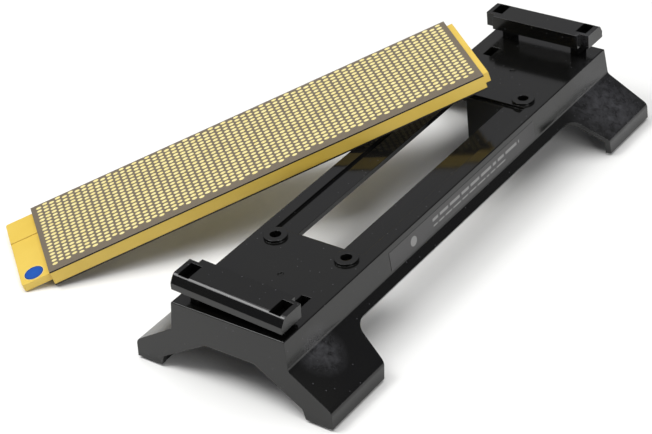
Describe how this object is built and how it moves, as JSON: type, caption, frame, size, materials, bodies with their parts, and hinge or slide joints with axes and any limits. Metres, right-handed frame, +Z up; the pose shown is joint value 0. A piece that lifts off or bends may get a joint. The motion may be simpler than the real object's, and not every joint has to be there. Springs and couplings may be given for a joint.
{
  "type": "bench stone stand with a two-sided diamond stone",
  "caption": "Moulded bench stand with splayed feet and clip-on holders, with a two-sided perforated diamond sharpening stone leaning on it.",
  "frame": {"origin": "on the bench, at the centre of the stand's four feet", "axes": "+X along the stand towards its far end, +Y to its left where the stone leans, +Z up from the bench"},
  "size_m": [0.3154, 0.2592, 0.0693],
  "materials": {
    "black_moulding": "glossy injection-moulded",
    "holder_moulding": "glossy injection-moulded",
    "pad_rubber": "matte",
    "label_film": "satin printed film",
    "yellow_core": "satin moulded",
    "diamond_plate": "nickel-bonded diamond grit",
    "grit_button": "glossy"
  },
  "bodies": {
    "stand": {"base_frame": "black_moulding", "right_side_label": "label_film", "far_left_foot_pad": "pad_rubber", "far_right_foot_pad": "pad_rubber", "near_left_foot_pad": "pad_rubber", "near_right_foot_pad": "pad_rubber"},
    "far_holder": {"far_stone_holder": "holder_moulding"},
    "near_holder": {"near_stone_holder": "holder_moulding"},
    "stone": {"stone_core": "yellow_core", "upper_diamond_plate": "diamond_plate", "lower_diamond_plate": "diamond_plate", "upper_grit_button": "grit_button", "lower_grit_button": "grit_button"}
  },
  "joints": [
    {"name": "far_holder_lift", "type": "slide", "parent": "stand", "child": "far_holder", "axis": [0, 0, 1], "range_m": [0, 0.02]},
    {"name": "near_holder_lift", "type": "slide", "parent": "stand", "child": "near_holder", "axis": [0, -0.0576, 0.9983], "range_m": [0, 0.02]},
    {"name": "stone_lift", "type": "slide", "parent": "stand", "child": "stone", "axis": [0, 0, 1], "range_m": [0, 0.12]}
  ]
}
